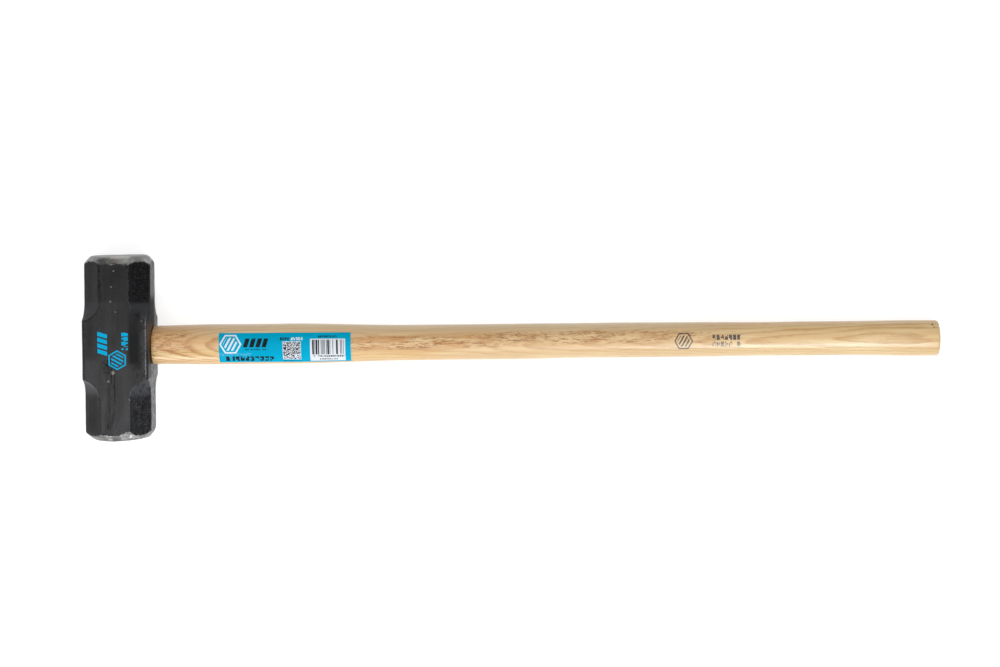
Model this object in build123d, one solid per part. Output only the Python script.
from build123d import *
import os
from math import radians, tan

# A 14 lb sledgehammer with a 36 inch hickory handle, lying on one cheek of its head.
# The handle runs along +X, the head lies along Y, and Z points up.
# The origin is on the lower cheek, under the middle of the eye, so the floor is z = 0.
# The head was hung by hand, so it sits slightly out of square and off the handle's middle.

# Driving dimensions, in millimetres
OVERALL_LENGTH = 914.0      # far side of the head to the end of the grip
HEAD_LENGTH = 197.8         # one striking face to the other
EYE_OFF_MIDDLE = 0.5        # the eye is this far towards +Y of the head's middle
ACROSS_FLATS = 70.0         # the square middle and the octagonal ends alike
FLAT_WIDTH = 31.0           # each of the ends' four flats that continue the block's sides
BLOCK_EDGE_ROUND = 4.0      # along the four edges of the square middle
SCOOP_START = 50.5          # from mid head to where a facet starts to curve outwards
SCOOP_RADIUS = 21.0         # of the curve in which a facet runs out into the block
FACE_DIAMETER = 57.6        # inside the ground bevel
BEVEL_ANGLE = 43.0          # degrees between the ground bevel and the striking face
CROWN_RADIUS = 600.0        # the striking faces are very slightly domed
RIM_ROUND = 1.2             # where the dome meets the bevel

HANG_ANGLE = -0.78          # degrees that the head is turned about Z on the handle
SHAFT_OFFSET = 1.9          # of the handle's axis from the middle of the eye, along Y

EYE_MOUTH = (34.5, 27.0)    # eye on the grip's side, along the head and across it
EYE_WAIST = (33.0, 25.5)    # narrowest, in the middle of the head
EYE_TOP = (37.0, 30.0)      # flared side, where the wedges spread the wood
TONGUE_RECESS = 0.8         # the wood ends this far inside the flared side

SHOULDER_GAP = 0.6          # between the head and the handle's shoulder
SHOULDER_ROUND = 2.5        # of the corner round the shoulder
GRIP_END_ROUND = 2.0        # of the corner round the end of the grip

# The handle's oval sections: distance from the eye's middle, width along Y, thickness.
# Between two of them the size eases from one to the other.
HANDLE_SECTIONS = (
    (35.0, 41.6, 35.0),     # shoulder
    (105.0, 43.3, 36.4),    # swell below the head
    (188.0, 43.3, 36.4),
    (300.0, 38.5, 32.4),    # shaft
    (520.0, 38.3, 32.2),
    (735.0, 37.3, 31.4),    # waist of the grip
    (865.0, 38.8, 32.6),    # knob
    (880.0, 38.8, 32.6),
)
SECTION_STEP = 30.0         # between the ovals that the handle is lofted through

WEDGE_DEPTH = 46.0          # wooden wedge, into the tongue from its end
WEDGE_THICK = 7.5           # at the end of the tongue
WEDGE_TIP = 2.5
STEEL_WEDGE_DEPTH = 26.0
STEEL_WEDGE_WIDTH = 19.0
STEEL_WEDGE_THICK = 3.2
STEEL_WEDGE_TIP = 0.8
STEEL_WEDGE_OFFSET = 8.5    # each side of the eye's middle

LABEL_START = 107.5         # from the middle of the eye, along the handle
LABEL_LENGTH = 140.3
LABEL_EDGES = (-18.6, 12.9) # from the shaft's axis: it reaches further down one side
LABEL_THICK = 0.25

# Worked out from them
HALF = ACROSS_FLATS / 2
FACE_Y = HEAD_LENGTH / 2
GRIP_END_X = OVERALL_LENGTH - HALF
SHOULDER_X = HALF + SHOULDER_GAP
TONGUE_END_X = TONGUE_RECESS - HALF
FACET_RADIUS = (HALF + FLAT_WIDTH / 2) / 2 ** 0.5   # from the head's long axis to a facet
CLEAR = 60.0                # further out than any part of the head
HUNG = Pos(0, 0, HALF) * Rot(0, 0, HANG_ANGLE)      # from the head's own frame
SHAFT_AXIS = Pos(0, SHAFT_OFFSET, HALF)


def oval(x, width, thickness):
    """An ellipse across the X axis at x, its width along Y."""
    across = Plane(origin=(x, 0, 0), x_dir=(0, 1, 0), z_dir=(1, 0, 0))
    return across * Ellipse(width / 2, thickness / 2)


def facet_cutter():
    """What is forged off one corner at one end: a flat facet that curves out into the block."""
    turn_y = SCOOP_START - SCOOP_RADIUS
    turn_z = FACET_RADIUS + SCOOP_RADIUS
    outline = Polyline(
        (SCOOP_START, FACET_RADIUS),
        (FACE_Y + CLEAR, FACET_RADIUS),
        (FACE_Y + CLEAR, CLEAR + turn_z),
        (turn_y, CLEAR + turn_z),
        (turn_y, turn_z),
    )
    run_out = RadiusArc((turn_y, turn_z), (SCOOP_START, FACET_RADIUS), -SCOOP_RADIUS)
    profile = Plane.YZ * make_face(outline + run_out)
    return extrude(profile, amount=CLEAR, both=True)


def turned_envelope():
    """Round blank that gives the ends their ground bevel and their slightly domed faces."""
    face_r = FACE_DIAMETER / 2
    dome_drop = CROWN_RADIUS - (CROWN_RADIUS ** 2 - face_r ** 2) ** 0.5
    rim_y = FACE_Y - dome_drop
    foot_y = rim_y - (CLEAR - face_r) * tan(radians(BEVEL_ANGLE))
    dome = RadiusArc((0, FACE_Y), (face_r, rim_y), CROWN_RADIUS)
    sides = Polyline((face_r, rim_y), (CLEAR, foot_y), (CLEAR, 0), (0, 0), (0, FACE_Y))
    profile = make_face(dome + sides)
    rim = profile.vertices().sort_by_distance((face_r, rim_y))[0]
    half = revolve(fillet(rim, RIM_ROUND), Axis.Y)
    return half + mirror(half, about=Plane.XZ)


def eye_space():
    """The hourglass eye through the head, which the handle's tongue fills. This and all
    that goes in the eye is made with the middle of the eye at the origin."""
    mouth = oval(HALF, *EYE_MOUTH)
    waist = oval(0, *EYE_WAIST)
    top = oval(-HALF, *EYE_TOP)
    return loft([mouth, waist], ruled=True) + loft([waist, top], ruled=True)


def make_head():
    block = Box(ACROSS_FLATS, HEAD_LENGTH, ACROSS_FLATS)
    block = fillet(block.edges().filter_by(Axis.Y), BLOCK_EDGE_ROUND)
    cutter = facet_cutter()
    for quarter in range(4):
        turned = Rot(0, 45 + 90 * quarter, 0) * cutter
        block = block - turned - mirror(turned, about=Plane.XZ)
    ground = block & turned_envelope()
    return Pos(0, -EYE_OFF_MIDDLE, 0) * ground - eye_space()


def tapered_wedge(end_thick, tip_thick, depth, width):
    """A wedge along X with its thick end at the end of the tongue and its width along Y."""
    outline = Polyline(
        (TONGUE_END_X, -end_thick / 2),
        (TONGUE_END_X + depth, -tip_thick / 2),
        (TONGUE_END_X + depth, tip_thick / 2),
        (TONGUE_END_X, end_thick / 2),
        close=True,
    )
    return extrude(Plane.XZ * make_face(outline), amount=width / 2, both=True)


def make_steel_wedges():
    """Two steel wedges side by side, driven across the wooden one."""
    wedge = tapered_wedge(STEEL_WEDGE_THICK, STEEL_WEDGE_TIP, STEEL_WEDGE_DEPTH, STEEL_WEDGE_WIDTH)
    across = Rot(90, 0, 0) * wedge
    return [Pos(0, side * STEEL_WEDGE_OFFSET, 0) * across for side in (-1, 1)]


def tongue_space():
    """The eye less the recess at its flared side, and on out to the shoulder."""
    recess = Pos(TONGUE_END_X - CLEAR / 2, 0, 0) * Box(CLEAR, CLEAR, CLEAR)
    neck = extrude(oval(HALF, *EYE_MOUTH), amount=SHOULDER_GAP + 2 * SHOULDER_ROUND)
    return eye_space() - recess + neck


def make_wooden_wedge(steel_wedges):
    wedge = tapered_wedge(WEDGE_THICK, WEDGE_TIP, WEDGE_DEPTH, CLEAR) & eye_space()
    for steel in steel_wedges:
        wedge = wedge - steel
    return wedge


def handle_size(x):
    """Width and thickness of the handle at x."""
    for (x0, *size0), (x1, *size1) in zip(HANDLE_SECTIONS, HANDLE_SECTIONS[1:]):
        if x0 <= x <= x1:
            t = (x - x0) / (x1 - x0)
            ease = t * t * (3 - 2 * t)
            return [a + (b - a) * ease for a, b in zip(size0, size1)]
    raise ValueError(x)


def shaft(grow=0.0):
    """The handle outside the head, or the same form grown outwards by a little."""
    steps = round((GRIP_END_X - SHOULDER_X) / SECTION_STEP)
    ovals = []
    for i in range(steps + 1):
        x = SHOULDER_X + (GRIP_END_X - SHOULDER_X) * i / steps
        width, thickness = handle_size(x)
        ovals.append(oval(x, width + 2 * grow, thickness + 2 * grow))
    return SHAFT_AXIS * loft(ovals)


def make_handle(wooden_wedge, steel_wedges):
    body = shaft()
    body = fillet(body.faces().sort_by(Axis.X)[0].edges(), SHOULDER_ROUND)
    body = fillet(body.faces().sort_by(Axis.X)[-1].edges(), GRIP_END_ROUND)
    tongue = tongue_space() - wooden_wedge
    for steel in steel_wedges:
        tongue = tongue - steel
    return body + HUNG * tongue


def make_label():
    """A thin sticker wrapped over the top of the handle's swell."""
    low, high = LABEL_EDGES
    length, width = LABEL_LENGTH, high - low
    cut_out = Pos(LABEL_START + length / 2, (low + high) / 2, CLEAR / 2)
    skin = shaft(LABEL_THICK) - shaft()
    return skin & (SHAFT_AXIS * cut_out * Box(length, width, CLEAR))


def main():
    steel_wedges = make_steel_wedges()
    wooden_wedge = make_wooden_wedge(steel_wedges)
    parts = {
        "head": HUNG * make_head(),
        "handle": make_handle(wooden_wedge, steel_wedges),
        "wooden_wedge": HUNG * wooden_wedge,
        "steel_wedge_1": HUNG * steel_wedges[0],
        "steel_wedge_2": HUNG * steel_wedges[1],
        "handle_label": make_label(),
    }
    os.makedirs("parts", exist_ok=True)
    for name, solid in parts.items():
        print(name, [s.is_valid for s in solid.solids()], round(solid.volume))
        export_step(solid, f"parts/{name}.step")


main()
